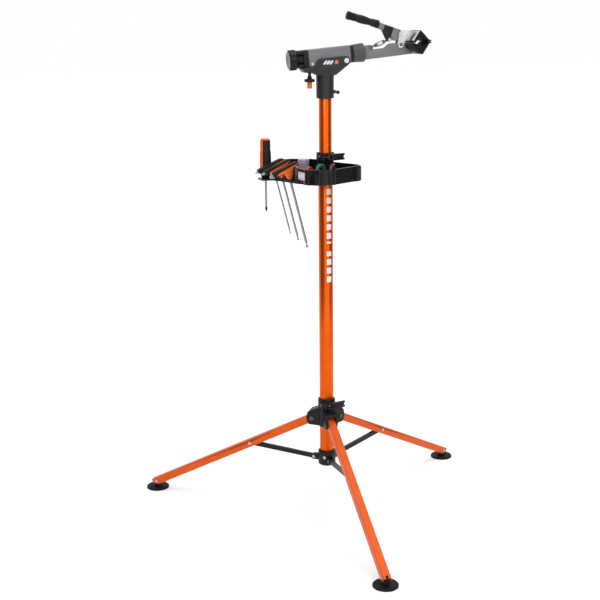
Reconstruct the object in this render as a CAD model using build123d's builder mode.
from build123d import *
import os
from math import atan2, cos, degrees, hypot, radians, sin, tan

# A folding repair stand: a two-stage column on three folding legs, a tool tray
# and a tilting arm that ends in a toggle clamp. The column axis is the Z axis
# while the pieces are made; save() then moves them so that the origin lies
# under the middle of the whole stand. The arm points along +X.

os.makedirs("parts", exist_ok=True)

# ---- fits, in millimetres
seat_gap = 0.05  # between pieces fixed to each other
run_gap = 0.08  # radial, round a pin or a sliding tube
side_gap = 0.4  # beside a lever, link or leg in its fork

# ---- column
tube_r = 20.0
tube_wall = 1.4
tube_foot_z = 140.0
tube_top_z = 1020.0
mast_r = 17.5
mast_wall = 1.6
mast_foot_z = 545.0
mast_top_z = 1230.0
bush_length = 30.0
guide_length = 55.0

# ---- legs, measured in the upright plane of one leg: radius and height
leg_pivot = (tube_r + 20.6, 265.8)
foot_pivot = (531.5, 22.3)
hub_pivot = (tube_r + 18.0, tube_foot_z + 6.7)
strut_station = 212.65  # along the leg from its pivot to the strut's pin
leg_width = 22.0
leg_depth = 22.0
leg_wall = 1.5
leg_tail = 8.0  # past the upper pivot
leg_toe = 12.0  # past the foot's pin
leg_azimuths = {"front": -90.0, "right": 30.0, "left": 150.0}
strut_height = 13.0
strut_thick = 8.0

# ---- pins of the legs
leg_bolt_r = 4.0
strut_pin_r = 3.0
pin_head_r = 5.0
pin_head_h = 1.5

# ---- lower hub and leg slider
hub_r = tube_r + 5.0
hub_low_z = tube_foot_z - 13.0
hub_top_z = tube_foot_z + 30.0
hub_ear_r = 8.0
hub_ear_half = 7.2
hub_screw_r = 2.6
hub_screw_azimuth = -122.0
slider_r = tube_r + 4.5
slider_low_z = leg_pivot[1] - 20.8
slider_top_z = leg_pivot[1] + 61.2
slider_ear_half = leg_width / 2 + 5.8

# ---- quick-release clamps of the slider and of the mast
band_r = tube_r + 4.8
band_height = 18.0
slider_band_z = leg_pivot[1] + 38.2
collar_low_z = tube_top_z - 34.0
collar_band_z = tube_top_z - 9.5
collar_r = tube_r + 2.6
clamp_turn = -26.0  # turns the clamp about the column
cam_bolt_r = 3.0
cam_pivot = (15.5, -tube_r - 11.5)
cam_r = 7.0
lever_tip = (54.3, -4.0)
lever_thick = 6.5

# ---- feet
pad_r = 33.2
pad_thick = 6.0
foot_block_half = 8.5

# ---- tool tray
tray_floor_z = tube_top_z - 65.0
tray_rim_z = tube_top_z - 24.0
tray_wall = 3.0
tray_corner_r = 12.0
ledge_thick = 5.0
tray_outline = [
    (84, -58), (84, -28), (58, 16), (40, 44), (22, 112), (-12, 150),
    (-60, 163), (-104, 150), (-116, 116), (-102, 50), (-84, 0), (-92, -50),
    (-82, -96), (-50, -119), (-14, -119), (4, -106), (55, -72),
]
ledge_outline = [
    (-70, -70), (-92, -74), (-109, -38), (-124, -5), (-141, 22),
    (-172, 26), (-177, 62), (-150, 78), (-104, 84), (-60, 20),
]
rib_places = [
    (-75, -102), (-60, -113), (-44, -119), (-22, -119), (-8, -114), (70, -65), (84, -49), (84, -36),
]
rib_r = 3.4

# ---- tools
screwdriver_at = (-157.0, 47.0)
screwdriver_blade_r = 3.0
screwdriver_grip_r = 16.0
screwdriver_top_z = tray_floor_z + 113.0
screwdriver_tip_z = tray_floor_z - 87.0
key_azimuth = 205.0  # the way the key handles point
key_droop = 17.0
key_outer = 52.0  # handle length outside the blade
key_inner = 37.0  # handle length inside the blade
key_handle_half = 6.0
key_blade_r = {"front": 3.0, "middle": 2.5, "back": 2.0}
key_elbow = {
    "front": (-115.4, -29.6, tray_floor_z + 38.5),
    "middle": (-130.2, -0.6, tray_floor_z + 42.0),
    "back": (-142.0, 28.2, tray_floor_z + 42.0),
}
key_blade_length = {"front": 236.0, "middle": 222.0, "back": 207.0}

# ---- head bracket
socket_r = mast_r + 6.5
socket_low_z = mast_top_z - 55.0
socket_top_z = mast_top_z + 14.0
bracket_half = 23.5
bracket_web_z = mast_top_z + 6.0
bracket_outline = [  # x, and height above the mast's top
    (-67, 21.5), (-60, 13.5), (-34, 12.5), (-24, 6.0), (24, 6.0), (59.1, 30.9), (53.1, 52.4),
    (43.7, 55.7), (-22, 49.6), (-27, 46.0), (-33, 32.0), (-38, 28.5), (-67, 26.5),
]
bracket_ear_r = 12.0
pinch_at = (30.0, socket_low_z + 15.5)  # x and z
pinch_lug_r = 11.0
pinch_bolt_r = 3.0
lock_x = -43.0
lock_sleeve_r = 4.5
lock_sleeve_z = (mast_top_z + 7.4, mast_top_z + 26.0)
lock_pin_z = (mast_top_z - 22.0, mast_top_z + 30.4)
lock_tip_z = (mast_top_z - 28.5, mast_top_z - 11.5)
lock_pin_r = 2.5

# ---- arm, in its own line: s along the tube, t square to it, both from its middle
arm_middle = (6.0, 0.0, mast_top_z + 55.3)
arm_tilt = 5.0
arm_width = 36.0
arm_height = 46.0
arm_wall = 2.5
arm_back_s = -55.0
arm_front_s = 61.0
arm_pivot = (45.9, -15.0)
arm_bolt_r = 5.0
cross_pin_at = (-46.6, -14.6)
cross_pin_r = 3.2
spindle_r = 8.0
knob_r = 28.0
knob_face_s = -106.0

# ---- toggle clamp, in the arm's line
collar_back_s = 69.3
collar_front_s = 101.0
clamp_half = 8.0
link_foot = (122.0, 10.4)
link_head = (177.2, 26.2)
lever_pivot = (214.1, 34.7)
jaw_pivot = (206.5, 10.2)
jaw_centre = (258.0, 11.2)
jaw_half_width = 25.5
jaw_half_height = 32.0
jaw_half_length = 36.0
star_tip = (19.5, 20.5)
star_valley = 8.6
grip_start = (63.7, 102.5)
grip_end = (151.0, 68.6)
grip_r = 11.2
toggle_pin_r = 3.0

# ---- worked out from the sizes above
leg_run = (foot_pivot[0] - leg_pivot[0], leg_pivot[1] - foot_pivot[1])
leg_length = hypot(*leg_run)
leg_slope = degrees(atan2(leg_run[1], leg_run[0]))
tilt_c = cos(radians(arm_tilt))
tilt_s = sin(radians(arm_tilt))
leg_half = leg_width / 2
ear_inner_half = leg_half + side_gap
plate_inner = clamp_half + 1.0
plate_outer = plate_inner + 3.0
stand_middle = Location((0, foot_pivot[0] / 4, 0))


def save(part, label):
    """Put one finished piece in its place and write it."""
    part = part.moved(stand_middle)
    part.label = label
    export_step(part, f"parts/{label}.step")


def side_plane(radius, height, slope=0.0):
    """The upright plane of a leg at azimuth 0, its first axis sloping down outwards."""
    direction = (cos(radians(slope)), 0, -sin(radians(slope)))
    return Plane(origin=(radius, 0, height), x_dir=direction, z_dir=(0, -1, 0))


def arm_point(s, t, y=0.0):
    x, _, z = arm_middle
    return (x + s * tilt_c - t * tilt_s, y, z + s * tilt_s + t * tilt_c)


def arm_side(s=0.0, t=0.0):
    """The arm's upright plane, with its first axis along the arm."""
    return Plane(origin=arm_point(s, t), x_dir=(tilt_c, 0, tilt_s), z_dir=(0, -1, 0))


def arm_section(s):
    """The plane square to the arm, with its first axis along +Y and its second up."""
    return Plane(origin=arm_point(s, 0), x_dir=(0, 1, 0), z_dir=(tilt_c, 0, tilt_s))


def headed_pin(plane, radius, half, head_r, head_h, bore_r=0.0):
    """A pin across a plane with a head at each end."""
    with BuildPart() as pin:
        with BuildSketch(plane):
            Circle(radius)
        extrude(amount=half, both=True)
        with BuildSketch(plane.offset(half), plane.offset(-half - head_h)):
            Circle(head_r)
        extrude(amount=head_h)
        if bore_r:
            with BuildSketch(plane):
                Circle(bore_r)
            extrude(amount=half + head_h, both=True, mode=Mode.SUBTRACT)
    return pin.part


def tube_part(radius, bore, low, top):
    with BuildPart() as tube:
        with BuildSketch(Plane.XY.offset(low)):
            Circle(radius)
            Circle(bore, mode=Mode.SUBTRACT)
        extrude(amount=top - low)
    return tube.part


def outer_tube():
    save(tube_part(tube_r, tube_r - tube_wall, tube_foot_z, tube_top_z), "outer_tube")


def inner_tube():
    save(tube_part(mast_r, mast_r - mast_wall, mast_foot_z, mast_top_z), "inner_tube")


def mast_bushes():
    """The plastic cup that closes the mast's foot, and the guide in the tube's mouth."""
    inside = tube_r - tube_wall
    floor_z = mast_foot_z - seat_gap
    with BuildPart() as bush:
        with BuildSketch(Plane.XY.offset(floor_z - 8)):
            Circle(inside - run_gap)
        extrude(amount=8 + bush_length)
        with BuildSketch(Plane.XY.offset(floor_z)):
            Circle(mast_r + run_gap)
        extrude(amount=bush_length, mode=Mode.SUBTRACT)
    save(bush.part, "mast_foot_bush")
    guide_z = tube_top_z - guide_length
    guide = tube_part(inside - seat_gap, mast_r + run_gap, guide_z, tube_top_z - seat_gap)
    save(guide, "mast_guide_bush")


def lower_hub():
    """The fixed hub that closes the tube's foot and carries the struts' ears."""
    with BuildPart() as hub:
        with BuildSketch(Plane.XY.offset(hub_low_z)):
            Circle(hub_r)
        extrude(amount=hub_top_z - hub_low_z)
        chamfer(hub.edges().group_by(Axis.Z)[-1], 2)
        chamfer(hub.edges().group_by(Axis.Z)[0], 3)
        for azimuth in leg_azimuths.values():
            with BuildSketch(side_plane(0, 0), mode=Mode.PRIVATE) as ear:
                with Locations(((hub_r + hub_pivot[0]) / 2 - 2, hub_pivot[1])):
                    Rectangle(hub_pivot[0] - hub_r + 4, hub_ear_r * 2)
                with Locations(hub_pivot):
                    Circle(hub_ear_r)
                    Circle(strut_pin_r, mode=Mode.SUBTRACT)
            solid = extrude(ear.sketch, amount=hub_ear_half, both=True, mode=Mode.PRIVATE)
            add(solid.rotate(Axis.Z, azimuth))
            room = Box(20, strut_thick + 2 * side_gap, 40, mode=Mode.PRIVATE)
            room = Pos(hub_r + 11, 0, hub_pivot[1]) * room
            add(room.rotate(Axis.Z, azimuth), mode=Mode.SUBTRACT)
        with BuildSketch(Plane.XY.offset(tube_foot_z - seat_gap)):
            Circle(tube_r + seat_gap)
        extrude(amount=hub_top_z - tube_foot_z + 1, mode=Mode.SUBTRACT)
        with BuildSketch(screw_plane()):
            Circle(hub_screw_r)
        extrude(amount=hub_r, mode=Mode.SUBTRACT)
    save(hub.part, "lower_hub")


def screw_plane():
    direction = (cos(radians(hub_screw_azimuth)), sin(radians(hub_screw_azimuth)), 0)
    return Plane(origin=(0, 0, hub_pivot[1] + 6), z_dir=direction)


def hub_pins():
    """Two short pins in each pair of ears, and the screw that holds the tube."""
    tip = strut_thick / 2 + side_gap + 0.3
    with BuildPart() as pins:
        for azimuth in leg_azimuths.values():
            plane = side_plane(*hub_pivot)
            with BuildPart(mode=Mode.PRIVATE) as pair:
                with BuildSketch(plane.offset(tip), plane.offset(-hub_ear_half)):
                    Circle(strut_pin_r - seat_gap)
                extrude(amount=hub_ear_half - tip)
                with BuildSketch(plane.offset(hub_ear_half), plane.offset(-hub_ear_half - 1.3)):
                    Circle(pin_head_r - 0.5)
                extrude(amount=1.3)
            add(pair.part.rotate(Axis.Z, azimuth))
        with BuildSketch(screw_plane().offset(tube_r + 0.2)):
            Circle(hub_screw_r - seat_gap)
        extrude(amount=hub_r - tube_r)
        with BuildSketch(screw_plane().offset(hub_r)):
            Circle(hub_screw_r + 2)
        extrude(amount=1.8)
    save(pins.part, "hub_pins")


def clamp_ears(low_z):
    """Two ears beside a slit, on the front of a clamping band."""
    with BuildPart() as ears:
        with BuildSketch(Plane.XY.offset(low_z)):
            with Locations((0, -30)):
                RectangleRounded(16.4, 18, 3)
        extrude(amount=band_height)
    return ears.part.rotate(Axis.Z, clamp_turn)


def clamp_slit(low_z, height):
    """The slit between the ears and the bolt's hole through both."""
    with BuildPart() as slit:
        with BuildSketch(Plane.XY.offset(low_z)):
            with Locations((0, -30)):
                Rectangle(2.4, 24)
        extrude(amount=height)
        with BuildSketch(Plane.YZ.offset(-14)):
            with Locations((cam_pivot[1], low_z + band_height / 2)):
                Circle(cam_bolt_r + seat_gap)
        extrude(amount=28)
    return slit.part.rotate(Axis.Z, clamp_turn)


def cam_bolt(low_z, label):
    """The bolt through the ears, its nut, and the eye and pin that carry the lever."""
    x, y = cam_pivot
    middle = low_z + band_height / 2
    with BuildPart() as bolt:
        with BuildSketch(Plane.YZ.offset(-13)):
            with Locations((y, middle)):
                Circle(cam_bolt_r)
        extrude(amount=13 + x)
        with BuildSketch(Plane.YZ.offset(-13)):
            with Locations((y, middle)):
                RegularPolygon(5.2, 6)
        extrude(amount=4.5)
        with BuildSketch(Plane.XY.offset(middle - 3.4)):
            with Locations(cam_pivot):
                Circle(4.2)
        extrude(amount=6.8)
        with BuildSketch(Plane.XY.offset(low_z)):
            with Locations(cam_pivot):
                Circle(2.0)
        extrude(amount=band_height)
    save(bolt.part.rotate(Axis.Z, clamp_turn), label)


def cam_lever(low_z, label):
    """A cam lever with a forked head on the pin and a notched finger end."""
    x, y = cam_pivot
    run = (lever_tip[0] - x, lever_tip[1] - y)
    length = hypot(*run)
    turn = degrees(atan2(run[1], run[0]))
    middle = low_z + band_height / 2
    with BuildPart() as lever:
        with BuildSketch(Plane.XY.offset(low_z + 0.3)):
            with BuildLine():
                start = (0, cam_r)
                RadiusArc(start, (length, lever_thick), -90)
                Line((length, lever_thick), (length, 0))
                RadiusArc((length, 0), (0, -cam_r), 70)
                Line((0, -cam_r), start)
            make_face()
            Circle(cam_r)
        extrude(amount=band_height - 0.6)
        with BuildSketch(Plane.XZ.offset(-20)):
            with Locations((length, middle)):
                Circle(4.2)
            with Locations((length + 2, middle)):
                Rectangle(6, 8.4)
        extrude(amount=40, mode=Mode.SUBTRACT)
        with BuildSketch(Plane.XY.offset(middle - 4)):
            Circle(cam_r + 2.2)
        extrude(amount=8, mode=Mode.SUBTRACT)
        with BuildSketch(Plane.XY.offset(low_z)):
            Circle(2.0 + run_gap)
        extrude(amount=band_height, mode=Mode.SUBTRACT)
    placed = lever.part.rotate(Axis.Z, turn).moved(Location((x, y, 0)))
    save(placed.rotate(Axis.Z, clamp_turn), label)


def leg_slider():
    """The sliding hub: a clamping sleeve with three hooded clevises for the legs."""
    r, z = leg_pivot
    with BuildPart() as slider:
        with BuildSketch(Plane.XY.offset(slider_low_z)):
            Circle(slider_r)
        extrude(amount=slider_top_z - slider_low_z)
        chamfer(slider.edges().group_by(Axis.Z)[-1], 2)
        for azimuth in leg_azimuths.values():
            with BuildSketch(side_plane(0, 0), mode=Mode.PRIVATE) as ear:
                with BuildLine():
                    Polyline(
                        (18, slider_low_z + 1), (r + 8, z - 18), (r + 14, z - 10), (r + 16, z + 4),
                        (r + 13, z + 17), (r + 7, z + 23), (25, z + 32), (18, z + 32), close=True,
                    )
                make_face()
            solid = extrude(ear.sketch, amount=slider_ear_half, both=True, mode=Mode.PRIVATE)
            add(solid.rotate(Axis.Z, azimuth))
        for azimuth in leg_azimuths.values():
            with BuildSketch(side_plane(0, 0), mode=Mode.PRIVATE) as room:
                with BuildLine():
                    Polyline(
                        (slider_r + 0.6, slider_low_z - 5), (r + 40, slider_low_z - 5), (r + 40, z + 30),
                        (r + 15, z + 18), (r + 4, z + 19.5), (slider_r + 0.6, z + 24), close=True,
                    )
                make_face()
            solid = extrude(room.sketch, amount=ear_inner_half, both=True, mode=Mode.PRIVATE)
            add(solid.rotate(Axis.Z, azimuth), mode=Mode.SUBTRACT)
            with BuildSketch(side_plane(r, z), mode=Mode.PRIVATE) as hole:
                Circle(leg_bolt_r + seat_gap)
            solid = extrude(hole.sketch, amount=slider_ear_half + 1, both=True, mode=Mode.PRIVATE)
            add(solid.rotate(Axis.Z, azimuth), mode=Mode.SUBTRACT)
        with BuildSketch(Plane.XY.offset(slider_band_z)):
            Circle(band_r)
        extrude(amount=band_height)
        add(clamp_ears(slider_band_z))
        with BuildSketch(Plane.XY.offset(slider_low_z)):
            Circle(tube_r + run_gap)
        extrude(amount=slider_top_z - slider_low_z, mode=Mode.SUBTRACT)
        add(clamp_slit(slider_band_z, slider_top_z - slider_band_z), mode=Mode.SUBTRACT)
    save(slider.part, "leg_slider")


def leg_pivot_bolts():
    with BuildPart() as bolts:
        for azimuth in leg_azimuths.values():
            bolt = headed_pin(side_plane(*leg_pivot), leg_bolt_r, slider_ear_half + 0.1, 6.2, 1.9)
            add(bolt.rotate(Axis.Z, azimuth))
    save(bolts.part, "leg_pivot_bolts")


def leg_channel():
    """A leg: a channel open below, with its pin holes, toe cut and top groove."""
    plane = side_plane(*leg_pivot, leg_slope)
    full = leg_tail + leg_length + leg_toe
    half_depth = leg_depth / 2
    with BuildPart() as leg:
        with BuildSketch(plane):
            with Locations((full / 2 - leg_tail, 0)):
                Rectangle(full, leg_depth)
        extrude(amount=leg_half, both=True)
        top = leg.faces().sort_by(Axis((0, 0, 0), tuple(plane.y_dir)))[-1]
        fillet(top.edges().filter_by(lambda e: e.length > leg_length), 2.5)
        with BuildSketch(plane):
            with Locations((full / 2 - leg_tail, -leg_wall)):
                Rectangle(full + 2, leg_depth)
        extrude(amount=leg_half - leg_wall, both=True, mode=Mode.SUBTRACT)
        with BuildSketch(plane):
            with BuildLine():
                end = leg_length + leg_toe
                Polyline((end + 1, -half_depth - 1), (end + 1, -1), (end, -1),
                         (end - 16, -half_depth), (end - 16, -half_depth - 1), close=True)
            make_face()
        extrude(amount=leg_half + 1, both=True, mode=Mode.SUBTRACT)
        with BuildSketch(plane):
            Circle(leg_bolt_r + run_gap)
            with Locations((strut_station, 0), (leg_length, 0)):
                Circle(strut_pin_r + seat_gap)
        extrude(amount=leg_half + 1, both=True, mode=Mode.SUBTRACT)
        top_plane = Plane(plane.from_local_coords((leg_length / 2, half_depth, 0)),
                          x_dir=plane.x_dir, z_dir=plane.y_dir)
        with BuildSketch(top_plane):
            with Locations((leg_length / 2 + leg_toe, 0)):
                SlotOverall(22, 7)
        extrude(amount=-leg_wall - 1, mode=Mode.SUBTRACT)
    return leg.part


def leg_pins():
    """The strut's pin and the foot's pin, both fixed in the leg."""
    plane = side_plane(*leg_pivot, leg_slope)
    with BuildPart() as pins:
        for station in (strut_station, leg_length):
            spot = Plane(plane.from_local_coords((station, 0, 0)), x_dir=plane.x_dir, z_dir=plane.z_dir)
            add(headed_pin(spot, strut_pin_r, leg_half + 0.02, pin_head_r, pin_head_h))
    return pins.part


def strut_bar():
    """A flat bar from the leg to the lower hub, bossed where the leg's pin crosses it."""
    joint = side_plane(*leg_pivot, leg_slope).from_local_coords((strut_station, 0, 0))
    run = (joint.X - hub_pivot[0], joint.Z - hub_pivot[1])
    length = hypot(*run)
    plane = side_plane(*hub_pivot, -degrees(atan2(run[1], run[0])))
    with BuildPart() as strut:
        with BuildSketch(plane):
            with Locations((length / 2, 0)):
                SlotCenterToCenter(length, strut_height)
        extrude(amount=strut_thick / 2, both=True)
        with BuildSketch(plane):
            with Locations((length, 0)):
                Circle(strut_height / 2 + 0.6)
        extrude(amount=leg_half - leg_wall - side_gap, both=True)
        with BuildSketch(plane):
            Circle(strut_pin_r + 0.2)
            with Locations((length, 0)):
                Circle(strut_pin_r + run_gap)
        extrude(amount=leg_half, both=True, mode=Mode.SUBTRACT)
    return strut.part


def foot_pad():
    r = foot_pivot[0]
    with BuildPart() as pad:
        with BuildSketch(Plane.XY):
            with Locations((r, 0)):
                Circle(pad_r)
        extrude(amount=pad_thick)
        chamfer(pad.edges().group_by(Axis.Z)[-1], 1.5)
    return pad.part


def foot_block():
    """The hinge block that stands on the pad inside the leg's end."""
    r, z = foot_pivot
    half = leg_half - leg_wall - side_gap
    with BuildPart() as block:
        with BuildSketch(side_plane(r, z)):
            Circle(7.5)
            with Locations((0, (pad_thick - z) / 2)):
                Rectangle(foot_block_half * 2 - 2, z - pad_thick)
            with Locations((0, pad_thick - z + 1.5)):
                Rectangle(foot_block_half * 2, 3)
            Circle(strut_pin_r + run_gap, mode=Mode.SUBTRACT)
        extrude(amount=half, both=True)
    return block.part


def legs():
    channel, pins, strut, pad, block = leg_channel(), leg_pins(), strut_bar(), foot_pad(), foot_block()
    for side, azimuth in leg_azimuths.items():
        save(channel.rotate(Axis.Z, azimuth), f"leg_{side}")
        save(pins.rotate(Axis.Z, azimuth), f"leg_pins_{side}")
        save(strut.rotate(Axis.Z, azimuth), f"strut_{side}")
        save(pad.rotate(Axis.Z, azimuth), f"foot_pad_{side}")
        save(block.rotate(Axis.Z, azimuth), f"foot_block_{side}")


def mast_collar():
    """The clamping collar that sits on the outer tube and grips the mast."""
    step_z = tube_top_z + seat_gap
    top_z = collar_band_z + band_height
    with BuildPart() as collar:
        with BuildSketch(Plane.XY.offset(collar_low_z)):
            Circle(collar_r)
        extrude(amount=top_z + 1 - collar_low_z)
        with BuildSketch(Plane.XY.offset(collar_band_z)):
            Circle(band_r)
        extrude(amount=band_height)
        add(clamp_ears(collar_band_z))
        with BuildSketch(Plane.XY.offset(collar_low_z)):
            Circle(tube_r + seat_gap)
        extrude(amount=step_z - collar_low_z, mode=Mode.SUBTRACT)
        with BuildSketch(Plane.XY.offset(step_z)):
            Circle(mast_r + run_gap)
        extrude(amount=top_z + 1 - step_z, mode=Mode.SUBTRACT)
        add(clamp_slit(collar_band_z, band_height + 1), mode=Mode.SUBTRACT)
    save(collar.part, "mast_collar")


def tray_plan(grow, height):
    """The tray's plan at a height, grown or shrunk all round."""
    with BuildSketch(Plane.XY.offset(height)) as plan:
        Polygon(*tray_outline, align=None)
        fillet(plan.vertices(), tray_corner_r)
        if grow:
            offset(amount=grow)
    return plan.sketch


def tool_tray():
    """An open bin round the column with a ledge of tool holes along its left side."""
    inside_height = tray_rim_z - tray_floor_z
    with BuildSketch(Plane.XY.offset(tray_floor_z)) as ribs:
        with Locations(rib_places):
            Circle(rib_r)
    with BuildSketch(Plane.XY.offset(tray_floor_z)) as ledge:
        Polygon(*ledge_outline, align=None)
        fillet(ledge.vertices(), 7)
    with BuildPart() as tray:
        extrude(tray_plan(0, tray_floor_z), amount=inside_height)
        extrude(tray_plan(1.5, tray_rim_z - 4), amount=4)
        extrude(ribs.sketch, amount=inside_height - 4)
        extrude(ledge.sketch, amount=ledge_thick)
        extrude(tray_plan(-tray_wall, tray_floor_z + tray_wall), amount=inside_height, mode=Mode.SUBTRACT)
        with BuildSketch(Plane.XY.offset(tray_floor_z)):
            with Locations(screwdriver_at):
                Circle(screwdriver_blade_r + 1)
            for side in key_elbow:
                with Locations(key_at(side, tray_floor_z + ledge_thick / 2)):
                    Circle(key_blade_r[side] + 2)
        extrude(amount=ledge_thick, mode=Mode.SUBTRACT)
        with BuildSketch(Plane.XY.offset(tray_floor_z)):
            Circle(tube_r + 7)
        extrude(amount=collar_low_z - seat_gap - tray_floor_z)
        with BuildSketch(Plane.XY.offset(tray_floor_z)):
            Circle(tube_r + seat_gap)
        extrude(amount=collar_low_z - tray_floor_z, mode=Mode.SUBTRACT)
    save(tray.part, "tool_tray")


def key_directions():
    """The way a key's handle points, and the way up its blade."""
    droop, azimuth = radians(key_droop), radians(key_azimuth)
    out = Vector(cos(droop) * cos(azimuth), cos(droop) * sin(azimuth), -sin(droop))
    up = Vector(sin(droop) * cos(azimuth), sin(droop) * sin(azimuth), cos(droop))
    return out, up


def key_at(side, height):
    """Where a key's blade crosses a height."""
    _, up = key_directions()
    x, y, z = key_elbow[side]
    drop = (height - z) / up.Z
    return (x + up.X * drop, y + up.Y * drop)


def hex_keys():
    """Three hex keys with moulded handles: each is a handle and a bent blade."""
    out, up = key_directions()
    seat_z = tray_floor_z + ledge_thick + side_gap
    for side, elbow in key_elbow.items():
        key_lobe = (elbow[2] - seat_z + 5 * out.Z) / up.Z
        plane = Plane(origin=elbow, x_dir=out, z_dir=out.cross(up))
        r = key_blade_r[side]
        across = Plane(origin=elbow, z_dir=out)
        along = Plane(origin=elbow, z_dir=up * -1)
        with BuildPart() as blade:
            with BuildSketch(across):
                RegularPolygon(r, 6)
            extrude(amount=key_outer + 9)
            with BuildSketch(along):
                RegularPolygon(r, 6)
            extrude(amount=key_blade_length[side])
            with Locations(elbow):
                Sphere(r)
        with BuildPart() as handle:
            with BuildSketch(plane):
                with BuildLine():
                    Polyline(
                        (-key_inner, -2), (-key_inner, 7), (key_outer, 7), (key_outer, -6),
                        (12, -8), (5, -key_lobe), (-4, -key_lobe), (-12, -7), close=True,
                    )
                make_face()
            extrude(amount=key_handle_half, both=True)
            fillet(handle.edges().filter_by(Axis((0, 0, 0), tuple(plane.z_dir))), 2.5)
            add(blade.part, mode=Mode.SUBTRACT)
        pair = Compound(children=[handle.part, blade.part])
        save(pair, f"hex_key_{side}")


def screwdriver():
    x, y = screwdriver_at
    grip_low = tray_floor_z + ledge_thick + seat_gap
    height = screwdriver_top_z - grip_low
    with BuildPart() as grip:
        with BuildSketch(Plane.XZ.offset(-y)):
            with BuildLine():
                r = screwdriver_grip_r
                Polyline((x, grip_low), (x + r * 0.7, grip_low), (x + r, grip_low + height * 0.12),
                         (x + r, grip_low + height * 0.72), (x + r * 0.84, grip_low + height * 0.95),
                         (x + r * 0.6, screwdriver_top_z), (x, screwdriver_top_z), close=True)
            make_face()
        revolve(axis=Axis((x, y, 0), (0, 0, 1)))
        with BuildSketch(Plane.XY.offset(grip_low)):
            with Locations(screwdriver_at):
                Circle(screwdriver_blade_r)
        extrude(amount=30, mode=Mode.SUBTRACT)
    save(grip.part, "screwdriver_grip")
    with BuildPart() as blade:
        with BuildSketch(Plane.XY.offset(screwdriver_tip_z)):
            with Locations(screwdriver_at):
                Circle(screwdriver_blade_r)
        extrude(amount=grip_low + 30 - seat_gap - screwdriver_tip_z)
    save(blade.part, "screwdriver_blade")


def spoke_wrenches():
    """Three ring-shaped spoke wrenches and a small tub, standing in the tray."""
    floor = tray_floor_z + tray_wall + seat_gap
    with BuildPart() as small_tools:
        for (x, y, turn, radius) in ((-31, -62, 45, 24), (1, -66, 60, 24), (-64, -66, 50, 21)):
            plane = Plane(origin=(x, y, floor + radius),
                          x_dir=(cos(radians(turn)), sin(radians(turn)), 0),
                          z_dir=(sin(radians(turn)), -cos(radians(turn)), 0))
            with BuildSketch(plane):
                Circle(radius)
                Circle(radius - 8, mode=Mode.SUBTRACT)
            extrude(amount=4, both=True)
        with BuildSketch(Plane.XY.offset(floor)):
            with Locations((-40, 84)):
                Circle(16)
        extrude(amount=45)
    save(small_tools.part, "small_tools")


def head_bracket():
    """The casting on the mast: a pinched socket and two cheeks that hold the arm."""
    pivot = arm_point(*arm_pivot)
    floor_gap = 0.5

    def under_arm(x):
        """The height of the arm tube's underside."""
        return arm_middle[2] + (x - arm_middle[0]) * tan(radians(arm_tilt)) - arm_height / 2 / tilt_c

    with BuildPart() as bracket:
        with BuildSketch(Plane.XZ):
            Polygon(*[(x, mast_top_z + height) for x, height in bracket_outline], align=None)
            with Locations((pivot[0], pivot[2])):
                Circle(bracket_ear_r)
        extrude(amount=bracket_half, both=True)
        with BuildSketch(Plane.XZ):
            with BuildLine():
                Polyline(
                    (-80, under_arm(-80) - floor_gap), (34, under_arm(34) - floor_gap),
                    (34, mast_top_z - 5), (80, mast_top_z - 5), (80, mast_top_z + 90),
                    (-80, mast_top_z + 90), close=True,
                )
            make_face()
        extrude(amount=arm_width / 2 + side_gap, both=True, mode=Mode.SUBTRACT)
        with BuildSketch(Plane.XY.offset(socket_low_z)):
            Circle(socket_r)
        extrude(amount=socket_top_z - socket_low_z)
        with BuildSketch(Plane.XZ):
            with Locations(pinch_at):
                Circle(pinch_lug_r)
            with Locations((pinch_at[0] - pinch_lug_r + 1, pinch_at[1])):
                Rectangle(20, pinch_lug_r * 2)
        extrude(amount=12, both=True)
        with BuildSketch(Plane.XY.offset(socket_low_z)):
            Circle(mast_r + seat_gap)
        extrude(amount=mast_top_z + 1 - socket_low_z, mode=Mode.SUBTRACT)
        with BuildSketch(Plane.XY.offset(socket_low_z)):
            with Locations((32, 0)):
                Rectangle(34, 2)
        extrude(amount=pinch_at[1] + 22 - socket_low_z, mode=Mode.SUBTRACT)
        with BuildSketch(Plane.XZ):
            with Locations((pinch_at[0] + 2, pinch_at[1])):
                Circle(pinch_bolt_r + seat_gap)
            with Locations((pivot[0], pivot[2])):
                Circle(arm_bolt_r + seat_gap)
        extrude(amount=bracket_half + 1, both=True, mode=Mode.SUBTRACT)
        with BuildSketch(Plane.XY.offset(bracket_web_z)):
            with Locations((lock_x, 0)):
                Circle(lock_sleeve_r + seat_gap)
        extrude(amount=40, mode=Mode.SUBTRACT)
    save(bracket.part, "head_bracket")


def head_bolts():
    """The socket's pinch bolt and the bolt that the arm swings on."""
    x, _, z = arm_point(*arm_pivot)
    with BuildPart() as bolts:
        add(headed_pin(side_plane(pinch_at[0] + 2, pinch_at[1]), pinch_bolt_r, 12.05, 5, 3))
        add(headed_pin(side_plane(x, z), arm_bolt_r, bracket_half + 0.05, 6.5, 3))
    save(bolts.part, "head_bolts")


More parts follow.
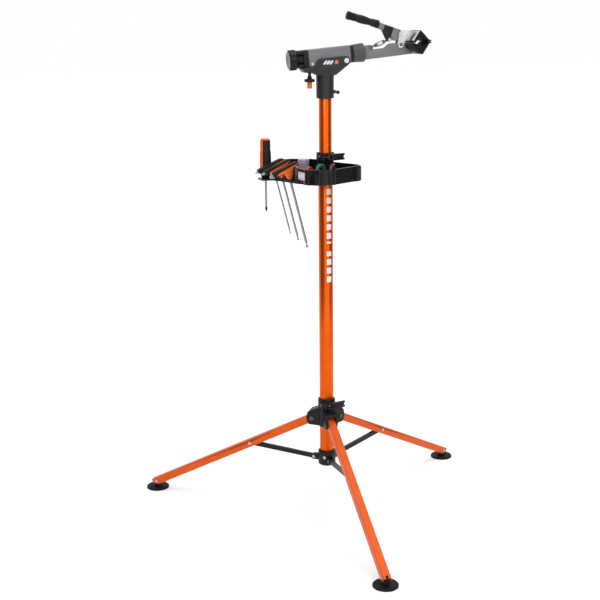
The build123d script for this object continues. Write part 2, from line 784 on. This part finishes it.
def arm_lock():
    """A spring plunger under the bracket: sleeve, pin, pull knob and its coloured tip."""
    def ring(label, radius, bore, heights):
        low, top = heights
        with BuildPart() as piece:
            with BuildSketch(Plane.XY.offset(low)):
                with Locations((lock_x, 0)):
                    Circle(radius)
                    if bore:
                        Circle(bore, mode=Mode.SUBTRACT)
            extrude(amount=top - low)
        save(piece.part, label)

    ring("lock_sleeve", lock_sleeve_r, lock_pin_r + run_gap, lock_sleeve_z)
    ring("lock_pin", lock_pin_r, 0, lock_pin_z)
    ring("lock_tip", 6.6, lock_pin_r + seat_gap, lock_tip_z)
    foot = lock_tip_z[1] + 0.1
    bore = lock_pin_r + seat_gap
    with BuildPart() as knob:
        with BuildSketch(Plane.XZ):
            with BuildLine():
                Polyline((lock_x + bore, foot), (lock_x + 12.5, foot), (lock_x + 14.5, foot + 3.4),
                         (lock_x + 14.5, foot + 7.4), (lock_x + 6.8, foot + 8.9),
                         (lock_x + 5.6, foot + 14.4), (lock_x + 3.8, foot + 18.5),
                         (lock_x + bore, foot + 18.5), close=True)
            make_face()
        revolve(axis=Axis((lock_x, 0, 0), (0, 0, 1)))
    save(knob.part, "lock_knob")


def arm_tube():
    """The box tube of the arm, with holes for its bolt, cross pin and lock pin."""
    length = arm_front_s - arm_back_s
    with BuildPart() as tube:
        with BuildSketch(arm_section(arm_back_s)):
            RectangleRounded(arm_width, arm_height, 3)
            RectangleRounded(arm_width - 2 * arm_wall, arm_height - 2 * arm_wall, 1.5, mode=Mode.SUBTRACT)
        extrude(amount=length)
        with BuildSketch(arm_side()):
            with Locations(arm_pivot):
                Circle(arm_bolt_r + run_gap)
            with Locations(cross_pin_at):
                Circle(cross_pin_r + seat_gap)
        extrude(amount=arm_width, both=True, mode=Mode.SUBTRACT)
        with BuildSketch(Plane.XY.offset(mast_top_z + 20)):
            with Locations((lock_x, 0)):
                Circle(lock_pin_r + 0.7)
        extrude(amount=20, mode=Mode.SUBTRACT)
    save(tube.part, "arm_tube")
    save(headed_pin(arm_side(*cross_pin_at), cross_pin_r, arm_width / 2 + 0.02, 3.9, 1.4), "arm_cross_pin")


def arm_rear_cap():
    """The plug and flange at the tube's back, with a lug above and below the knob's neck."""
    with BuildPart() as cap:
        with BuildSketch(arm_section(arm_back_s - 14)):
            RectangleRounded(arm_width, arm_height, 5)
        extrude(amount=14 - seat_gap)
        with BuildSketch(arm_section(arm_back_s - 14)):
            RectangleRounded(arm_width - 2 * arm_wall - 0.2, arm_height - 2 * arm_wall - 8, 1.5)
        extrude(amount=19)
        with BuildSketch(arm_section(arm_back_s - 30)):
            RectangleRounded(arm_width - 4, arm_height, 6)
            Circle(19.5, mode=Mode.SUBTRACT)
            Rectangle(arm_width, 27, mode=Mode.SUBTRACT)
        extrude(amount=16.5)
        with BuildSketch(arm_section(arm_back_s - 14)):
            Circle(spindle_r + run_gap)
        extrude(amount=30, mode=Mode.SUBTRACT)
    save(cap.part, "arm_rear_cap")


def front_bush():
    """The plain bearing in the tube's mouth, with a flange outside it."""
    with BuildPart() as bush:
        with BuildSketch(arm_section(arm_front_s + seat_gap)):
            RectangleRounded(arm_width - 1.5, arm_height - 1.5, 4)
        extrude(amount=8)
        with BuildSketch(arm_section(arm_front_s + 1)):
            RectangleRounded(arm_width - 2 * arm_wall - 0.2, arm_height - 2 * arm_wall - 0.2, 1.5)
        extrude(amount=-7)
        with BuildSketch(arm_section(arm_front_s - 8)):
            Circle(spindle_r + run_gap)
        extrude(amount=20, mode=Mode.SUBTRACT)
    save(bush.part, "front_bush")


def spindle():
    with BuildPart() as shaft:
        with BuildSketch(arm_section(knob_face_s + 4)):
            Circle(spindle_r)
        extrude(amount=collar_front_s - 4 - (knob_face_s + 4))
    save(shaft.part, "spindle")


def tension_knob():
    """The lobed knob on the spindle's thread, and its bright cap."""
    neck_s = arm_back_s - 14.4
    with BuildPart() as knob:
        with BuildSketch(arm_section(knob_face_s)):
            Circle(knob_r - 2.4)
            with PolarLocations(knob_r - 4.4, 10):
                Circle(4.4)
        extrude(amount=17.5)
        with BuildSketch(arm_section(knob_face_s + 17.5)):
            Circle(15)
        extrude(amount=neck_s - (knob_face_s + 17.5))
        with BuildSketch(arm_section(knob_face_s + 4 - seat_gap)):
            Circle(spindle_r + run_gap)
        extrude(amount=60, mode=Mode.SUBTRACT)
    save(knob.part, "tension_knob")
    with BuildPart() as cap:
        with BuildSketch(arm_section(knob_face_s - 3.0)):
            Circle(25.0)
        extrude(amount=3.0 - seat_gap)
        chamfer(cap.edges().sort_by(Axis.X)[0], 1.2)
    save(cap.part, "knob_cap")


def clamp_collar():
    """The round collar that joins the clamp to the spindle."""
    with BuildPart() as collar:
        with BuildSketch(arm_section(collar_back_s)):
            Circle(23.4)
        with BuildSketch(arm_section(collar_front_s)):
            Circle(25.4)
        loft()
        chamfer(collar.edges().filter_by(GeomType.CIRCLE), 1)
        with BuildSketch(arm_section(collar_back_s)):
            Circle(spindle_r + seat_gap)
        extrude(amount=collar_front_s - 4 + seat_gap - collar_back_s, mode=Mode.SUBTRACT)
    save(collar.part, "clamp_collar")


def clamp_arm():
    """The long casting of the clamp, slotted for the link's foot."""
    with BuildPart() as arm:
        with BuildSketch(arm_side()):
            with BuildLine():
                Polyline(
                    (collar_front_s + seat_gap, -19.6), (241, -17.6), (241, -13.5), (216, 3.4),
                    (210.5, 5), (197, 14.6), (191.7, 15.8), (175.5, 15.4), (159.6, 4.8), (130, 4.8),
                    (104, 16.7), (collar_front_s + seat_gap, 16.7), close=True,
                )
            make_face()
            with Locations(link_foot):
                Circle(7.6)
            with Locations(jaw_pivot):
                Circle(7.0)
        extrude(amount=clamp_half, both=True)
        with BuildSketch(arm_side()):
            with Locations(link_foot):
                Circle(9)
            with BuildLine():
                Polyline((113, 10), (118, 30), (170, 40), (170, 14), (150, 6), (130, 2), close=True)
            make_face()
        extrude(amount=3.9, both=True, mode=Mode.SUBTRACT)
        with BuildSketch(arm_side()):
            with Locations(link_foot):
                Circle(toggle_pin_r + seat_gap)
            with Locations(jaw_pivot):
                Circle(toggle_pin_r + seat_gap)
        extrude(amount=clamp_half + 1, both=True, mode=Mode.SUBTRACT)
    save(arm.part, "clamp_arm")
    with BuildPart() as pins:
        add(headed_pin(arm_side(*link_foot), toggle_pin_r, clamp_half + 0.02, 5.6, 1.2))
        add(headed_pin(arm_side(*jaw_pivot), toggle_pin_r, plate_outer + 0.3, 4.4, 1.5))
    save(pins.part, "clamp_pins")


def jaw_plate():
    """Two bright cheeks joined behind the upper jaw, and the pin that the lever turns on."""
    outline = [
        (211, 47.5), (229, 46.4), (250, 41.0), (235.5, 23.4), (227.4, 21.4), (218.6, 18.3),
        (217.6, 10.4), (214.5, 2.8), (206.5, 0.4), (198.2, 4.6), (196.6, 12), (201.5, 27), (204, 40),
    ]
    with BuildPart() as plate:
        with BuildSketch(arm_side()) as side:
            Polygon(*outline, align=None)
            fillet(side.vertices().group_by(Axis.Z)[0], 3)
            with Locations(jaw_pivot):
                Circle(toggle_pin_r + run_gap, mode=Mode.SUBTRACT)
            with Locations(lever_pivot):
                Circle(toggle_pin_r + seat_gap, mode=Mode.SUBTRACT)
        extrude(amount=plate_outer, both=True)
        with BuildSketch(arm_side()):
            Polygon((190, -5), (190, 60), (231, 60), (231, 22.5), (236, -5), align=None)
        extrude(amount=plate_inner, both=True, mode=Mode.SUBTRACT)
        pin = headed_pin(arm_side(*lever_pivot), toggle_pin_r, plate_outer + 0.02, 4.4, 1.2)
        add(pin)
    save(plate.part, "jaw_plate")


def star_points():
    """The clamp's four-pointed opening."""
    s, t = jaw_centre
    v = star_valley
    return [
        (s + star_tip[0], t), (s + v, t + v), (s, t + star_tip[1]), (s - v, t + v),
        (s - star_tip[0], t), (s - v, t - v), (s, t - star_tip[1]), (s + v, t - v),
    ]


def rubber_jaw(label, up):
    """Half of the diamond, with the star's half cut out and a small tab at its end."""
    s, t = jaw_centre
    gap = 0.5
    with BuildPart() as jaw:
        with BuildSketch(arm_side()):
            Polygon((s - jaw_half_width, t), (s, t + jaw_half_height), (s + jaw_half_width, t),
                    (s, t - jaw_half_height), align=None)
            with Locations((s + jaw_half_width - 1.5, t)):
                Rectangle(6, 9)
            Polygon(*star_points(), mode=Mode.SUBTRACT, align=None)
            with Locations((s, t - up * 50 + up * gap)):
                Rectangle(120, 100, mode=Mode.SUBTRACT)
        extrude(amount=jaw_half_length, both=True)
    save(jaw.part, label)


def jaw_holders():
    """The steel backing of the upper jaw and the moulded holder of the lower one."""
    s, t = jaw_centre
    length = hypot(jaw_half_width, jaw_half_height)
    normal = (-jaw_half_height / length, jaw_half_width / length)

    def off(point, distance, up):
        return (point[0] + normal[0] * distance, point[1] + up * normal[1] * distance)

    with BuildPart() as upper:
        low = (s - jaw_half_width + 4, t + 4 * jaw_half_height / jaw_half_width)
        high = (s - 2, t + jaw_half_height - 2 * jaw_half_height / jaw_half_width)
        with BuildSketch(arm_side()):
            Polygon(off(low, 0.05, 1), off(high, 0.05, 1), off(high, 2.6, 1), off(low, 2.6, 1), align=None)
        extrude(amount=jaw_half_length - 4, both=True)
    save(upper.part, "upper_jaw_holder")
    with BuildPart() as lower:
        near = (s - jaw_half_width + 1.5, t - 1.5 * jaw_half_height / jaw_half_width)
        far = (s - 3, t - jaw_half_height + 3 * jaw_half_height / jaw_half_width)
        with BuildSketch(arm_side()):
            Polygon(off(near, 0.05, -1), off(far, 0.05, -1), off(far, 4, -1), (243, -15.5), (232, -9),
                    (221, 4.5), (222, 9.5), align=None)
        extrude(amount=jaw_half_length - 4, both=True)
        with BuildSketch(arm_side()):
            Polygon((200, 20), (216.5, 4), (241.6, -13.2), (241.6, -30), (200, -30), align=None)
        extrude(amount=clamp_half + seat_gap, both=True, mode=Mode.SUBTRACT)
    save(lower.part, "lower_jaw_holder")


def handle_lever():
    """The toggle lever, forked round the link's head, with its rubber grip."""
    with BuildPart() as lever:
        with BuildSketch(arm_side()) as side:
            Polygon((150, 73.5), (168.1, 67.2), (191.5, 57), (208, 49), (219, 42), (220, 33), (213, 27),
                    (198.5, 21.5), (186, 22), (170, 22), (166, 34), (158, 52), (146.6, 60.5), align=None)
            fillet(side.vertices(), 2)
        extrude(amount=clamp_half - 0.6, both=True)
        with BuildSketch(arm_side()):
            Polygon((150, 10), (150, 44), (172, 38), (190, 37), (194, 10), align=None)
        extrude(amount=3.4, both=True, mode=Mode.SUBTRACT)
        with BuildSketch(arm_side()):
            with Locations(lever_pivot):
                Circle(toggle_pin_r + run_gap)
        extrude(amount=clamp_half, both=True, mode=Mode.SUBTRACT)
        add(rod_between(grip_point(-1), grip_point(grip_length() + seat_gap), grip_r + 4), mode=Mode.SUBTRACT)
        add(rod_between(grip_point(18), grip_point(grip_length() + 6), 6.0))
        for side_y in (-1, 1):
            plane = arm_side(*link_head)
            start = clamp_half - 0.6 if side_y > 0 else -(clamp_half - 0.6) - 1.2
            with BuildSketch(plane.offset(start)):
                Circle(4.6)
            extrude(amount=1.2)
    save(lever.part, "handle_lever")
    with BuildPart() as grip:
        add(rod_between(grip_point(0), grip_point(grip_length()), grip_r))
        fillet(grip.edges().filter_by(GeomType.CIRCLE), 3)
        add(rod_between(grip_point(17.9), grip_point(grip_length() + 1), 6.0 + seat_gap), mode=Mode.SUBTRACT)
    save(grip.part, "handle_grip")


def grip_length():
    return hypot(grip_end[0] - grip_start[0], grip_end[1] - grip_start[1])


def grip_point(distance):
    """A point of the grip's axis, measured from its free end."""
    share = distance / grip_length()
    s = grip_start[0] + (grip_end[0] - grip_start[0]) * share
    t = grip_start[1] + (grip_end[1] - grip_start[1]) * share
    return arm_point(s, t)


def rod_between(start, end, radius):
    """A plain round rod from one point to another."""
    direction = Vector(*end) - Vector(*start)
    plane = Plane(origin=start, z_dir=direction)
    with BuildPart(mode=Mode.PRIVATE) as rod:
        with BuildSketch(plane):
            Circle(radius)
        extrude(amount=direction.length)
    return rod.part


def toggle_link():
    """The link with an eye at each end, and the barrel that sets its length."""
    foot, head = arm_point(*link_foot), arm_point(*link_head)
    unit = (Vector(*head) - Vector(*foot)).normalized()
    with BuildPart() as link:
        for centre, radius in ((link_foot, 6.0), (link_head, 5.5)):
            with BuildSketch(arm_side(*centre)):
                Circle(radius)
            extrude(amount=3, both=True)
        add(rod_between(tuple(Vector(*foot) + unit * 4), tuple(Vector(*head) - unit * 4), 3.0))
        with BuildSketch(arm_side(*link_foot)):
            Circle(toggle_pin_r + run_gap)
        extrude(amount=4, both=True, mode=Mode.SUBTRACT)
        with BuildSketch(arm_side(*link_head)):
            Circle(toggle_pin_r - 0.5)
        extrude(amount=4, both=True, mode=Mode.SUBTRACT)
    save(link.part, "toggle_link")
    start, end = tuple(Vector(*foot) + unit * 20), tuple(Vector(*foot) + unit * 38)
    with BuildPart() as barrel:
        add(rod_between(start, end, 7.0))
        chamfer(barrel.edges().filter_by(GeomType.CIRCLE), 0.8)
        add(rod_between(start, end, 3.0 + run_gap), mode=Mode.SUBTRACT)
    save(barrel.part, "link_adjuster")


outer_tube()
inner_tube()
mast_bushes()
lower_hub()
hub_pins()
leg_slider()
leg_pivot_bolts()
cam_bolt(slider_band_z, "slider_cam_bolt")
cam_lever(slider_band_z, "slider_lever")
cam_bolt(collar_band_z, "mast_cam_bolt")
cam_lever(collar_band_z, "mast_lever")
legs()
mast_collar()
tool_tray()
hex_keys()
screwdriver()
spoke_wrenches()
head_bracket()
head_bolts()
arm_lock()
arm_tube()
arm_rear_cap()
front_bush()
spindle()
tension_knob()
clamp_collar()
clamp_arm()
jaw_plate()
rubber_jaw("upper_jaw", 1)
rubber_jaw("lower_jaw", -1)
jaw_holders()
handle_lever()
toggle_link()
